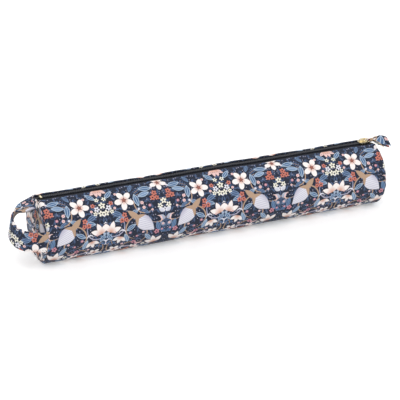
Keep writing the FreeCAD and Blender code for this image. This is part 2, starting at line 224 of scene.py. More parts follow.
def ramp(tree, value, low, high):
    """0 where the value is low, 1 where it is high, and even between."""
    share = calc(tree, "MULTIPLY_ADD", value, 1 / (high - low), -low / (high - low))
    return calc(tree, "MINIMUM", calc(tree, "MAXIMUM", share, 0.0), 1.0)


def new_group(name, inputs, outputs):
    """A shader node group, with its input and output sockets."""
    tree = bpy.data.node_groups.new(name, "ShaderNodeTree")
    for label, kind in inputs:
        tree.interface.new_socket(label, in_out="INPUT", socket_type=kind)
    for label, kind in outputs:
        tree.interface.new_socket(label, in_out="OUTPUT", socket_type=kind)
    source = tree.nodes.new("NodeGroupInput")
    result = tree.nodes.new("NodeGroupOutput")
    return tree, source.outputs, result.inputs


VECTOR, COLOUR, NUMBER = "NodeSocketVector", "NodeSocketColor", "NodeSocketFloat"


def motif(name, colours):
    """A motif's group: it takes a place on the motif and its colours, and gives a mask and a colour."""
    inputs = [("X", NUMBER), ("Y", NUMBER)] + [(label, COLOUR) for label in colours]
    tree, given, result = new_group(name, inputs, [("Mask", NUMBER), ("Color", COLOUR)])
    return tree, given, result, given["X"], given["Y"]


def length(tree, x, y):
    """The distance of a place from the middle."""
    return calc(tree, "SQRT", calc(tree, "MULTIPLY_ADD", x, x, calc(tree, "MULTIPLY", y, y)))


def lens(tree, x, y, width):
    """How far inside a pointed leaf from x -1 to 1 a place is; below 0 is outside."""
    edge = calc(tree, "MULTIPLY_ADD", calc(tree, "MULTIPLY", x, x), -width, width)
    return calc(tree, "SUBTRACT", edge, calc(tree, "ABSOLUTE", y))


def turned(tree, x, y, angle, at, size):
    """A place as it is seen from a motif that lies at a place, turned, with a size."""
    c, s = math.cos(angle) / size, math.sin(angle) / size
    across = calc(tree, "MULTIPLY_ADD", x, c, calc(tree, "MULTIPLY_ADD", y, s, -at[0] * c - at[1] * s))
    along = calc(tree, "MULTIPLY_ADD", x, -s, calc(tree, "MULTIPLY_ADD", y, c, at[0] * s - at[1] * c))
    return across, along


# The blossom: five oval petals round a small heart.
PETAL_TURN = math.tau / 5
blossom, given, result, x, y = motif("blossom", ("Petal", "Blush", "Heart"))
far = length(blossom, x, y)
turn = calc(blossom, "FRACT", calc(blossom, "DIVIDE", calc(blossom, "ARCTAN2", y, x), PETAL_TURN))
lean = calc(blossom, "MULTIPLY_ADD", turn, PETAL_TURN, -PETAL_TURN / 2)
along = calc(blossom, "MULTIPLY", far, calc(blossom, "COSINE", lean))
along = calc(blossom, "MULTIPLY_ADD", along, 2.4, -1.42)
across = calc(blossom, "MULTIPLY", far, calc(blossom, "SINE", lean))
across = calc(blossom, "MULTIPLY", across, 3.45)
oval = calc(blossom, "MULTIPLY_ADD", along, along, calc(blossom, "MULTIPLY", across, across))
petals = calc(blossom, "LESS_THAN", oval, 1.0)
heart = calc(blossom, "LESS_THAN", far, 0.17)
tint = paint(blossom, ramp(blossom, far, 0.50, 0.12), given["Petal"], given["Blush"])
tint = paint(blossom, calc(blossom, "MULTIPLY", ramp(blossom, oval, 0.80, 1.0), 0.2), tint, given["Blush"])
blossom.links.new(calc(blossom, "MAXIMUM", petals, heart), result["Mask"])
blossom.links.new(paint(blossom, heart, tint, given["Heart"]), result["Color"])

# The leaf: a pointed blade with a paler rim and rib.
leaf_motif, given, result, x, y = motif("leaf", ("Rim", "Blade"))
inside = lens(leaf_motif, x, y, 0.40)
rim = calc(leaf_motif, "LESS_THAN", inside, 0.10)
rib = calc(leaf_motif, "LESS_THAN", calc(leaf_motif, "ABSOLUTE", y), 0.045)
leaf_motif.links.new(calc(leaf_motif, "GREATER_THAN", inside, 0.0), result["Mask"])
leaf_motif.links.new(paint(leaf_motif, calc(leaf_motif, "MAXIMUM", rim, rib), given["Blade"], given["Rim"]),
                     result["Color"])

# The bud: an egg-shaped head with fine strokes, held by a pointed tan calyx.
bud, given, result, x, y = motif("bud", ("Head", "Stroke", "Calyx"))
aside = calc(bud, "ABSOLUTE", y)
belly = calc(bud, "MULTIPLY_ADD", x, calc(bud, "MULTIPLY", x, -1.0), 1.0)
wide = calc(bud, "MULTIPLY", belly, calc(bud, "MULTIPLY_ADD", x, -0.14, 0.56))
head = calc(bud, "GREATER_THAN", calc(bud, "SUBTRACT", wide, aside), 0.0)
tail_x = calc(bud, "MULTIPLY_ADD", x, 1.6, 1.75)
tail = calc(bud, "GREATER_THAN", lens(bud, tail_x, y, 0.22), 0.0)
cup = calc(bud, "LESS_THAN", calc(bud, "MULTIPLY_ADD", aside, -0.5, x), -0.62)
strokes = calc(bud, "SINE", calc(bud, "MULTIPLY", calc(bud, "MULTIPLY_ADD", x, 0.35, y), 42.0))
strokes = calc(bud, "MULTIPLY", ramp(bud, strokes, 0.1, 1.0), 0.75)
shade = calc(bud, "MAXIMUM", strokes, ramp(bud, y, -0.15, -0.60))
tint = paint(bud, shade, given["Head"], given["Stroke"])
tan_part = calc(bud, "MAXIMUM", cup, calc(bud, "LESS_THAN", x, -0.9))
bud.links.new(calc(bud, "MAXIMUM", head, tail), result["Mask"])
bud.links.new(paint(bud, tan_part, tint, given["Calyx"]), result["Color"])

# The lotus: three pointed petals that spread from one point.
lotus, given, result, x, y = motif("lotus", ("Petal", "Blush"))
inside = None
for spread in (90, 38, 142):
    petal_x, petal_y = turned(lotus, x, y, math.radians(spread), (0, -0.66), 0.72)
    one = lens(lotus, calc(lotus, "SUBTRACT", petal_x, 1.0), petal_y, 0.46)
    inside = one if inside is None else calc(lotus, "MAXIMUM", inside, one)
far = length(lotus, x, calc(lotus, "ADD", y, 0.62))
tint = paint(lotus, ramp(lotus, far, 0.75, 0.1), given["Petal"], given["Blush"])
tint = paint(lotus, calc(lotus, "MULTIPLY", ramp(lotus, inside, 0.09, 0.0), 0.5), tint, given["Blush"])
lotus.links.new(calc(lotus, "GREATER_THAN", inside, 0.0), result["Mask"])
lotus.links.new(tint, result["Color"])


def lobed(name, lobes, depth, heart_size):
    """A floret's group: a rounded or pointed star with a heart."""
    tree, given, result, x, y = motif(name, ("Petal", "Heart"))
    far = length(tree, x, y)
    wave = calc(tree, "COSINE", calc(tree, "MULTIPLY", calc(tree, "ARCTAN2", y, x), lobes / 2))
    reach = calc(tree, "MULTIPLY_ADD", calc(tree, "ABSOLUTE", wave), depth, 1.0 - depth)
    tree.links.new(calc(tree, "LESS_THAN", far, reach), result["Mask"])
    tint = paint(tree, calc(tree, "LESS_THAN", far, heart_size), given["Petal"], given["Heart"])
    tree.links.new(tint, result["Color"])
    return tree


floret = lobed("floret", 5, 0.42, 0.28)
star = lobed("star", 5, 0.62, 0.24)
berry = lobed("berry", 2, 0.10, 0.34)

# The tendril: an arc that thins out towards both ends.
tendril, given, result, x, y = motif("tendril", ("Line",))
thin = lens(tendril, calc(tendril, "DIVIDE", calc(tendril, "ARCTAN2", y, x), 1.9), 0.0, 0.055)
off_line = calc(tendril, "ABSOLUTE", calc(tendril, "SUBTRACT", length(tendril, x, y), 1.0))
tendril.links.new(calc(tendril, "LESS_THAN", off_line, thin), result["Mask"])
tendril.links.new(given["Line"], result["Color"])

# The crescent: a curved petal lying on its own.
crescent, given, result, x, y = motif("crescent", ("Petal",))
in_disc = calc(crescent, "LESS_THAN", length(crescent, x, y), 1.0)
out_bite = calc(crescent, "GREATER_THAN", length(crescent, calc(crescent, "ADD", x, 0.42), y), 1.02)
crescent.links.new(calc(crescent, "MULTIPLY", in_disc, out_bite), result["Mask"])
crescent.links.new(given["Petal"], result["Color"])

# The sprig: a stem from x 0 to 1 with pairs of leaves.
sprig, given, result, x, y = motif("sprig", ("Stem", "Leaf", "Tip"))
PAIRS = 4.0
SPREAD = math.radians(52)
at = calc(sprig, "FRACT", calc(sprig, "MULTIPLY", x, PAIRS))
aside = calc(sprig, "MULTIPLY", calc(sprig, "ABSOLUTE", y), PAIRS)
along = calc(sprig, "MULTIPLY_ADD", at, math.cos(SPREAD), calc(sprig, "MULTIPLY", aside, math.sin(SPREAD)))
across = calc(sprig, "MULTIPLY_ADD", at, -math.sin(SPREAD), calc(sprig, "MULTIPLY", aside, math.cos(SPREAD)))
leaves = lens(sprig, calc(sprig, "MULTIPLY_ADD", along, 2.0, -1.25), across, 0.30)
leaves = calc(sprig, "GREATER_THAN", leaves, 0.0)
stem = calc(sprig, "LESS_THAN", aside, 0.07)
span = calc(sprig, "MULTIPLY", calc(sprig, "GREATER_THAN", x, 0.0), calc(sprig, "LESS_THAN", x, 1.0))
tint = paint(sprig, ramp(sprig, x, 0.2, 1.0), given["Leaf"], given["Tip"])
sprig.links.new(calc(sprig, "MULTIPLY", calc(sprig, "MAXIMUM", leaves, stem), span), result["Mask"])
sprig.links.new(paint(sprig, stem, tint, given["Stem"]), result["Color"])

NAVY = dye("182033")
BARE = (0.0, 0.0, 0.0, 1.0)
WHITE = dye("FAF3F1")
PEACH = dye("DDA893")
BROWN = dye("9A5F52")
CORAL = dye("C77767")
CORAL_DARK = dye("4A2227")
PALE_BLUE = dye("B2C4D8")
MID_BLUE = dye("7893B5")
STEEL = dye("4C6C93")
LAVENDER = dye("E6E5EE")
LILAC = dye("B4B0C6")
TAN = dye("B89A82")
CREAM = dye("F0ECDD")
OLIVE = dye("3A3B33")
BERRY = dye("C58796")
PINK = dye("EBC9C6")
SLATE = dye("465A7C")
DUSK = dye("303D59")

HALF_REPEAT = 68.0
REPEAT = 108.0
# Each line: the motif, then its place across and down from the zip, its turn in degrees and its
# size, all in millimetres of cloth, and its colours.
LAYOUT = [
    (tendril, 34, 58, 150, 12.5, (TAN,)), (tendril, 33, 50, 20, 13.0, (TAN,)),
    (tendril, 10, 34, 200, 13.0, (TAN,)), (tendril, 52, 70, -60, 14.0, (TAN,)),
    (tendril, 46, 92, 100, 18.0, (LILAC,)), (tendril, 12, 92, 30, 12.0, (TAN,)),
    (tendril, 58, 44, 250, 11.0, (LILAC,)), (tendril, 40, 76, 60, 9.0, (TAN,)),
    (tendril, 22, 24, -30, 11.0, (TAN,)),
    (sprig, 0, 61, 90, 31.0, (SLATE, STEEL, LAVENDER)), (sprig, 60, 66, 70, 16.0, (TAN, STEEL, MID_BLUE)),
    (sprig, 38, 77, 200, 16.0, (TAN, SLATE, PALE_BLUE)),
    (sprig, 68, 100, 90, 24.0, (SLATE, MID_BLUE, LAVENDER)),
    (sprig, 28, 100, 35, 15.0, (SLATE, STEEL, PALE_BLUE)),
    (sprig, 68, 64, 90, 17.0, (SLATE, STEEL, PALE_BLUE)),
    (sprig, 30, 12, 150, 11.0, (TAN, SLATE, STEEL)),
    (leaf_motif, 29.5, 20, 82, 7.4, (PALE_BLUE, STEEL)), (leaf_motif, 16.5, 8.5, 6, 7.6, (PALE_BLUE, STEEL)),
    (leaf_motif, 20, 15, -12, 7.2, (PALE_BLUE, MID_BLUE)), (leaf_motif, 40, 48, -28, 6.2, (PALE_BLUE, STEEL)),
    (leaf_motif, 20, 64, 52, 6.4, (PALE_BLUE, MID_BLUE)), (leaf_motif, 58, 8, -42, 6.4, (PALE_BLUE, STEEL)),
    (leaf_motif, 54, 31, 24, 6.6, (MID_BLUE, SLATE)), (leaf_motif, 52, 37, -15, 5.8, (PALE_BLUE, STEEL)),
    (leaf_motif, 35, 33, -20, 5.6, (PALE_BLUE, STEEL)), (leaf_motif, 45, 60, 70, 6.6, (PALE_BLUE, MID_BLUE)),
    (leaf_motif, 7, 88, 40, 7.2, (PALE_BLUE, STEEL)), (leaf_motif, 42, 101, -30, 7.4, (PALE_BLUE, MID_BLUE)),
    (leaf_motif, 62, 84, 75, 7.0, (MID_BLUE, STEEL)), (leaf_motif, 20, 84, -35, 6.4, (PALE_BLUE, STEEL)),
    (leaf_motif, 32, 5, -60, 5.0, (MID_BLUE, SLATE)), (leaf_motif, 64, 55, 60, 5.4, (PALE_BLUE, STEEL)),
    (leaf_motif, 9, 52, 76, 6.0, (MID_BLUE, STEEL)), (leaf_motif, 22, 33.5, 30, 4.6, (MID_BLUE, SLATE)),
    (crescent, 66, 34.5, 0, 4.4, (LAVENDER,)), (crescent, 30, 68, -70, 4.6, (PINK,)),
    (crescent, 19, 74, -140, 4.4, (LAVENDER,)), (crescent, 65, 61, 20, 4.2, (LAVENDER,)),
    (crescent, 4, 104, 80, 4.6, (PINK,)), (crescent, 46, 76, 10, 4.0, (LAVENDER,)),
    (crescent, 8, 44, 160, 4.0, (PINK,)), (crescent, 50, 52, 100, 3.8, (LAVENDER,)),
    (bud, 24, 46, -138, 14.0, (LAVENDER, LILAC, TAN)), (bud, 54, 92, -40, 12.4, (LAVENDER, LILAC, TAN)),
    (blossom, 0, 3.5, 90, 9.4, (WHITE, PEACH, BROWN)), (blossom, 43, 18, 100, 10.8, (WHITE, PEACH, BROWN)),
    (blossom, 30, 91, 60, 9.8, (WHITE, PEACH, BROWN)), (blossom, 57, 76.5, 90, 7.2, (WHITE, PEACH, BROWN)),
    (lotus, 61, 44, 20, 8.6, (WHITE, PEACH)), (lotus, 13, 70, -14, 8.4, (WHITE, PEACH)),
    (lotus, 12, 99, 20, 8.2, (WHITE, PEACH)), (lotus, 53, 61, -165, 6.6, (WHITE, PEACH)),
    (lotus, 66, 4, 180, 6.0, (PINK, PEACH)), (lotus, 33, 77, 30, 5.6, (WHITE, PEACH)),
    (floret, 8, 15.5, 0, 3.2, (CORAL, CORAL_DARK)), (floret, 11, 20.5, 30, 3.2, (CORAL, CORAL_DARK)),
    (floret, 6.4, 21, 10, 2.7, (CORAL, CORAL_DARK)), (floret, 46, 33.5, 0, 3.0, (CORAL, CORAL_DARK)),
    (floret, 49.5, 38.5, 20, 3.0, (CORAL, CORAL_DARK)), (floret, 44.5, 38.8, 50, 2.6, (CORAL, CORAL_DARK)),
    (floret, 10.5, 58.5, 0, 3.2, (BERRY, CORAL_DARK)), (floret, 36, 68, 0, 2.8, (BERRY, CORAL_DARK)),
    (floret, 45, 85, 15, 3.0, (CORAL, CORAL_DARK)), (floret, 41, 81.5, 40, 2.7, (CORAL, CORAL_DARK)),
    (floret, 2, 96, 0, 2.8, (CORAL, CORAL_DARK)), (floret, 58, 18.5, 0, 2.6, (CORAL, CORAL_DARK)),
    (star, 0, 25.5, 90, 3.5, (CREAM, OLIVE)), (star, 4.8, 30.3, 50, 3.1, (CREAM, OLIVE)),
    (star, 0, 34.5, 20, 2.8, (LAVENDER, OLIVE)), (star, 68, 19.5, 90, 3.8, (CREAM, OLIVE)),
    (star, 61.5, 23, 60, 3.3, (LAVENDER, OLIVE)), (star, 65.2, 28, 20, 3.4, (CREAM, OLIVE)),
    (star, 59, 27.5, 0, 2.6, (CREAM, OLIVE)), (star, 24, 75, 0, 2.6, (CREAM, OLIVE)),
    (star, 60, 104, 0, 3.0, (CREAM, OLIVE)), (star, 64, 12.5, 0, 2.7, (CREAM, OLIVE)),
    (berry, 24, 24, 0, 1.9, (PINK, BERRY)), (berry, 23, 29.3, 0, 1.8, (PINK, BERRY)),
    (berry, 3.5, 50, 0, 1.4, (PINK, BERRY)), (berry, 4.6, 56.4, 0, 1.3, (BERRY, PINK)),
    (berry, 55, 24.5, 0, 1.5, (PINK, BERRY)), (berry, 41, 54, 0, 1.6, (BERRY, PINK)),
    (berry, 29, 30, 0, 1.3, (LAVENDER, LILAC)), (berry, 16, 28, 0, 1.6, (BERRY, PINK)),
    (berry, 14, 33, 0, 1.3, (PINK, BERRY)), (berry, 33, 72, 0, 1.5, (BERRY, PINK)),
    (berry, 33, 60, 0, 1.4, (BERRY, PINK)), (berry, 49, 68, 0, 1.5, (PINK, BERRY)),
    (berry, 26, 56, 0, 1.4, (PINK, BERRY)), (berry, 50, 9, 0, 1.6, (PINK, BERRY)),
    (berry, 9, 8, 0, 1.3, (LAVENDER, BERRY)), (berry, 58, 50, 0, 1.3, (PINK, BERRY)),
]

print_group, given, result = new_group("floral_print", [("Place", VECTOR)], [("Color", COLOUR)])
tree = print_group
parts = add(tree, "ShaderNodeSeparateXYZ", given["Place"]).outputs
x = calc(tree, "PINGPONG", parts[0], HALF_REPEAT)
y = calc(tree, "MULTIPLY", calc(tree, "FLOORED_MODULO", parts[1], REPEAT), -1.0)
motifs = BARE
for group, across, down, turn, size, colours in LAYOUT:
    local = turned(tree, x, y, math.radians(turn), (across, -down), size)
    one = add(tree, "ShaderNodeGroup", node_tree=group)
    for socket, value in zip(one.inputs, (*local, *colours)):
        feed(tree, socket, value)
    motifs = paint(tree, one.outputs["Mask"], motifs, one.outputs["Color"])

# Between the motifs the navy ground carries a scatter of small leaves and dots. It shows where no
# motif has painted over the bare black.
BARE_RED = 0.0005
ground = NAVY
folded = add(tree, "ShaderNodeCombineXYZ", x, y, 0.0).outputs[0]
for scale, width, spread, tint, keep in ((0.22, 0.34, 2.4, DUSK, 0.15), (0.16, 0.30, 3.0, SLATE, 0.35),
                                         (0.24, 0.9, 0.55, LILAC, 0.5)):
    cells = add(tree, "ShaderNodeTexVoronoi", folded, voronoi_dimensions="2D", feature="F1")
    cells.inputs["Scale"].default_value = scale
    cells.inputs["Randomness"].default_value = 0.85
    from_cell = add(tree, "ShaderNodeVectorMath", folded, cells.outputs["Position"],
                    operation="SUBTRACT").outputs[0]
    chance = add(tree, "ShaderNodeSeparateColor", cells.outputs["Color"]).outputs
    spun = add(tree, "ShaderNodeVectorRotate", from_cell, rotation_type="Z_AXIS")
    tree.links.new(calc(tree, "MULTIPLY", chance[0], math.tau), spun.inputs["Angle"])
    spot = add(tree, "ShaderNodeSeparateXYZ", spun.outputs[0]).outputs
    one = lens(tree, calc(tree, "DIVIDE", spot[0], spread), calc(tree, "DIVIDE", spot[1], spread), width)
    inside = calc(tree, "GREATER_THAN", one, 0.0)
    mask = calc(tree, "MULTIPLY", inside, calc(tree, "GREATER_THAN", chance[1], keep))
    ground = paint(tree, mask, ground, tint)
bare = calc(tree, "LESS_THAN", add(tree, "ShaderNodeSeparateColor", motifs).outputs[0], BARE_RED)
tree.links.new(paint(tree, bare, motifs, ground), result["Color"])

# The weave: threads that pass over and under each other, as a height and a slight change of tone.
weave_group, given, result = new_group(
    "plain_weave", [("Place", VECTOR), ("Thread", NUMBER)], [("Height", NUMBER), ("Tone", NUMBER)])
tree = weave_group
parts = add(tree, "ShaderNodeSeparateXYZ", given["Place"]).outputs
waves = []
for part in parts[:2]:
    phase = calc(tree, "MULTIPLY", calc(tree, "DIVIDE", part, given["Thread"]), math.pi)
    waves.append(calc(tree, "SINE", phase))
product = calc(tree, "MULTIPLY", waves[0], waves[1])
slub = add(tree, "ShaderNodeTexNoise", given["Place"])
slub.inputs["Scale"].default_value = 0.9
slub.inputs["Detail"].default_value = 3.0
tree.links.new(calc(tree, "MULTIPLY_ADD", slub.outputs[0], 0.6, calc(tree, "MULTIPLY", product, 0.5)),
               result["Height"])
tree.links.new(calc(tree, "MULTIPLY_ADD", slub.outputs[0], 0.16, 0.92), result["Tone"])


def cloth_material(name, colour_or_print, thread=0.35, roughness=0.86, sheen=0.06, bump=0.12):
    """A woven cloth, printed where colour_or_print is the print's group, else in one dye."""
    material, tree, shader = new_material(name)
    place = add(tree, "ShaderNodeUVMap", uv_map="cloth").outputs[0]
    weave = add(tree, "ShaderNodeGroup", node_tree=weave_group)
    tree.links.new(place, weave.inputs["Place"])
    weave.inputs["Thread"].default_value = thread
    if isinstance(colour_or_print, bpy.types.NodeTree):
        printed = add(tree, "ShaderNodeGroup", node_tree=colour_or_print)
        tree.links.new(place, printed.inputs["Place"])
        base = printed.outputs["Color"]
    else:
        base = add(tree, "ShaderNodeRGB")
        base.outputs[0].default_value = colour_or_print
        base = base.outputs[0]
    toned = add(tree, "ShaderNodeVectorMath", base, operation="SCALE")
    tree.links.new(weave.outputs["Tone"], toned.inputs["Scale"])
    tree.links.new(toned.outputs[0], shader.inputs["Base Color"])
    shader.inputs["Roughness"].default_value = roughness
    shader.inputs["Sheen Weight"].default_value = sheen
    shader.inputs["Sheen Roughness"].default_value = 0.5
    relief = add(tree, "ShaderNodeBump")
    relief.inputs["Strength"].default_value = bump
    relief.inputs["Distance"].default_value = 0.0003
    tree.links.new(weave.outputs["Height"], relief.inputs["Height"])
    tree.links.new(relief.outputs[0], shader.inputs["Normal"])
    return material


printed_cotton = cloth_material("printed_cotton", print_group)

# The tube's printed cloth, in a front half and a back half that meet under the case. Beside the
# zip each half is folded under in a hem. The mouth's cloth bends outwards with its lip.
MM = 0.001
joints = {joint["name"]: joint for joint in frame["joints"]}
AXIS_Z = joints["front_lip_open"]["pos_m"][2]
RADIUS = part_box("outer_panel")[1].y
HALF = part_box("right_end_panel")[1].x
MOUTH_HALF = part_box("front_lip_cloth")[1].x
BAND_HALF = -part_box("front_lip_cloth")[1].y
HEM_LIFT = 1.2 * MM
HEM_FOLD = 0.65 * MM
HEM_DEPTH = 5.0 * MM
STITCH_LINE = 3.0 * MM
END_ROLL = 2.2 * MM
CLOTH = 0.5 * MM
PUCKER_REACH = 6 * MM
MOUTH_EASE = 14 * MM


def seam_pucker(turn):
    """The gathers round an end seam, from -1 to 1."""
    return math.sin(turn * 31 + 2.2 * math.sin(turn * 5))


def softness(x, turn):
    """How far the soft wall stands out at a place, from wrinkles and from the puckered end seams."""
    wave = noise.noise(Vector((x * 24, math.cos(turn) * 1.3, math.sin(turn) * 1.3)))
    ripple = noise.noise(Vector((x * 95 + 7, math.cos(turn) * 3.0, math.sin(turn) * 3.0)))
    from_end = max(0.0, HALF - abs(x))
    pucker = seam_pucker(turn) * math.exp(-from_end / PUCKER_REACH)
    return (0.75 * wave + 0.20 * ripple + 0.30 * pucker) * MM


def end_roll(x, face):
    """How far the wall turns in towards the end seam, face being where this layer ends."""
    share = min(1.0, max(0.0, (abs(x) - (face - END_ROLL)) / END_ROLL))
    return END_ROLL * (1 - math.sqrt(1 - share * share))


def on_wall(x, turn, depth, face):
    """A point of a wall layer; turn is from the top, positive to the back, depth below the outside."""
    reach = RADIUS - depth + softness(x, turn) - end_roll(x, face)
    height = AXIS_Z + reach * math.cos(turn)
    return Vector((x, reach * math.sin(turn), max(height, depth + CLOTH / 2)))


def edge_wave(x):
    """How far the hem beside the zip wanders, across and up."""
    return (0.45 * MM * noise.noise(Vector((x * 30, 3.1, 0))),
            0.55 * MM * noise.noise(Vector((x * 21, 9.7, 0))))


def hem_point(x, side, arc):
    """A point of the printed cloth; arc is from the hem's fold, below 0 for the layer under it."""
    across, up = edge_wave(x + side * 0.5)
    fold_turn = math.asin((BAND_HALF + across + HEM_FOLD) / RADIUS)
    fade = math.exp(-(arc / (6 * MM)) ** 2)
    sink = 0.35 * MM * math.exp(-((arc - STITCH_LINE) / (0.9 * MM)) ** 2)
    lift = (HEM_LIFT + up) * fade - sink
    if arc >= 0:
        return on_wall(x, side * (fold_turn + arc / RADIUS), -lift, HALF)
    bend = min(math.pi, -arc / HEM_FOLD)
    under = max(0.0, -arc - math.pi * HEM_FOLD)
    reach = -math.sin(bend) * HEM_FOLD + under
    drop = HEM_FOLD * (1 - math.cos(bend))
    return on_wall(x, side * (fold_turn + reach / RADIUS), drop - lift, HALF)


def laid_cloth(name, along, across, place, cloth_place, thickness, material, segments):
    """A piece of cloth from a flat grid: place puts each point, cloth_place gives its print."""
    bm = bmesh.new()
    bmesh.ops.create_grid(bm, x_segments=segments[0], y_segments=segments[1], size=0.5)
    layer = bm.loops.layers.uv.new("cloth")
    shares = {}
    for vertex in bm.verts:
        shares[vertex.index] = (
            along[0] + (vertex.co.x + 0.5) * (along[1] - along[0]),
            across[0] + (vertex.co.y + 0.5) * (across[1] - across[0]),
        )
    for face in bm.faces:
        face.smooth = True
        for loop in face.loops:
            loop[layer].uv = cloth_place(*shares[loop.vert.index])
    for vertex in bm.verts:
        vertex.co = place(*shares[vertex.index])
    thing = piece_from(bm, name)
    thing.data.materials.append(material)
    wall = thing.modifiers.new("thickness", "SOLIDIFY")
    wall.thickness = thickness
    wall.offset = 0.0
    return thing


def bend_with_lip(thing, lip, side):
    """Makes a piece of the mouth bend with its lip, most in the middle and not at all at the ends."""
    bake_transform(thing, "case", lip, start=(0, side * RADIUS, AXIS_Z - 8 * MM),
             end=(0, side * RADIUS, AXIS_Z + 0.8 * RADIUS))
    weights = thing.data.attributes["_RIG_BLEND"].data
    for vertex, weight in zip(thing.data.vertices, weights):
        share = max(0.0, 1.0 - (abs(vertex.co.x) / (MOUTH_HALF + MOUTH_EASE)) ** 2)
        weight.value *= share * share * (3 - 2 * share)


SIDES = (("front", -1), ("back", 1))
GIRTH = math.pi * RADIUS
cloth_arc = GIRTH - math.asin(BAND_HALF / RADIUS) * RADIUS
for label, side in SIDES:
    shell = laid_cloth(
        f"{label}_cloth", (-HALF, HALF), (-HEM_DEPTH, cloth_arc),
        lambda x, arc: hem_point(x, side, arc),
        lambda x, arc: (x / MM + HALF_REPEAT, arc / MM if side < 0 else 2 * cloth_arc / MM - arc / MM),
        0.5 * MM, printed_cotton, (220, 84))
    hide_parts(f"{label}_lip_cloth", *(["outer_panel"] if side < 0 else []))
    bend_with_lip(shell, f"{label}_lip", side)

# The hem stitches. A row of navy thread along each side of the zip holds the folded hem down on
# the tape.
THREAD = 0.22 * MM


def stitch_row(name, line, material):
    """A row of stitches on a line of places, each from one place to the next but one."""
    bm = bmesh.new()
    for start, end in zip(line[::2], line[1::2]):
        run = end - start
        pose = Matrix.LocRotScale((start + end) / 2, run.to_track_quat("X", "Z"),
                                  (run.length / 2, THREAD, THREAD))
        bmesh.ops.create_icosphere(bm, subdivisions=1, radius=1.0, matrix=pose)
    for face in bm.faces:
        face.smooth = True
    thing = piece_from(bm, name)
    thing.data.materials.append(material)
    return thing


thread, tree, shader = new_material("navy_thread")
shader.inputs["Base Color"].default_value = dye("20293C")
shader.inputs["Roughness"].default_value = 0.7
STITCH = 1.9 * MM
STITCH_GAP = 0.7 * MM
stitch_ends = []
x = -HALF + 4 * MM
while x < HALF - 6 * MM:
    stitch_ends += [x, x + STITCH]
    x += STITCH + STITCH_GAP
for label, side in SIDES:
    line = [hem_point(x, side, STITCH_LINE) + Vector((0, 0, 0.3 * MM)) for x in stitch_ends]
    stitches = stitch_row(f"{label}_hem_stitches", line, thread)
    bend_with_lip(stitches, f"{label}_lip", side)

# The end panels. A round of the same cotton closes each end, sewn in with a seam that puckers and
# stands a little behind the padded face.
DOME = 1.6 * MM
SEAM_SINK = 1.3 * MM


def end_round(name, side, depth, face, dome, sink, thickness, material, shift, segments):
    """A round of cloth across an end, side being the end; depth is how far it lies in from the wall."""
    def place(u, v):
        across, up = u * math.sqrt(1 - v * v / 2), v * math.sqrt(1 - u * u / 2)
        share, turn = min(1.0, math.hypot(across, up)), math.atan2(across, up)
        rim = on_wall(side * HALF, turn, depth, HALF)
        puff = dome * (1 - share ** 2.2) - sink * math.exp(-((1 - share) / 0.05) ** 2)
        pucker = 0.35 * seam_pucker(turn) * math.exp(-(1 - share) / 0.10)
        soft = 0.5 * noise.noise(Vector((across * 2.2, up * 2.2, side * 3.0)))
        x = side * (face + puff + (pucker * (1 - math.exp(-(1 - share) / 0.03)) + soft * (1 - share)) * MM)
        return Vector((x, rim.y * share, AXIS_Z + (rim.z - AXIS_Z) * share))

    thing = laid_cloth(
        name, (-1, 1), (-1, 1), place,
        lambda u, v: (side * u * RADIUS / MM + shift[0], shift[1] - v * RADIUS / MM),
        thickness, material, segments)
    return thing


ENDS = (("left", -1), ("right", 1))
for label, side in ENDS:
    panel = end_round(f"{label}_end_cotton", side, 0, HALF, DOME, SEAM_SINK, 0.5 * MM,
                      printed_cotton, (HALF_REPEAT + 20, 56), (72, 72))
    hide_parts(f"{label}_end_panel")
    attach(panel, "case")

# The padding. White polyester wadding fills the wall and both ends, between the printed cloth and
# the lining, and stops at the zip tape.
wadding, tree, shader = new_material("wadding")
fluff = add(tree, "ShaderNodeTexNoise", add(tree, "ShaderNodeTexCoord").outputs["Object"])
fluff.inputs["Scale"].default_value = 900
fluff.inputs["Detail"].default_value = 4
relief = add(tree, "ShaderNodeBump")
relief.inputs["Distance"].default_value = 0.0008
tree.links.new(fluff.outputs[0], relief.inputs["Height"])
tree.links.new(relief.outputs[0], shader.inputs["Normal"])
shader.inputs["Base Color"].default_value = dye("E9E6DF")
shader.inputs["Roughness"].default_value = 1.0


def wall_layer(name, side, depth, edge, face, thickness, material):
    """A layer of the wall, from edge beside the zip to the line under the case."""
    start = math.asin(edge / (RADIUS - depth))
    girth = (math.pi - start) * (RADIUS - depth)
    return laid_cloth(
        name, (-face, face), (0, girth),
        lambda x, arc: on_wall(x, side * (start + arc / (RADIUS - depth)), depth, HALF),
        lambda x, arc: (x / MM, arc / MM), thickness, material, (110, 40)), girth


PADDING_DEPTH, PADDING_EDGE = 1.95 * MM, 13.6 * MM
END_PAD_RADIUS, END_PAD_THICKNESS = RADIUS - 4.5 * MM, 1.6 * MM
for label, side in SIDES:
    padding, _ = wall_layer(f"{label}_wadding", side, PADDING_DEPTH, PADDING_EDGE,
                            HALF - 3.2 * MM, 1.8 * MM, wadding)
    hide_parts(f"{label}_lip_padding", *(["padding"] if side < 0 else []))
    bend_with_lip(padding, f"{label}_lip", side)
for label, side in ENDS:
    bm = bmesh.new()
    bmesh.ops.create_circle(bm, cap_ends=True, segments=64, radius=END_PAD_RADIUS,
                            matrix=Matrix.Translation((side * (HALF - 2.9 * MM), 0, AXIS_Z + 0.8 * MM))
                            @ Matrix.Rotation(math.pi / 2, 4, "Y"))
    bmesh.ops.solidify(bm, geom=bm.faces, thickness=END_PAD_THICKNESS)
    bmesh.ops.recalc_face_normals(bm, faces=bm.faces)
    padding = piece_from(bm, f"{label}_end_wadding")
    padding.data.materials.append(wadding)
    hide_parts(f"{label}_end_padding")
    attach(padding, "case")

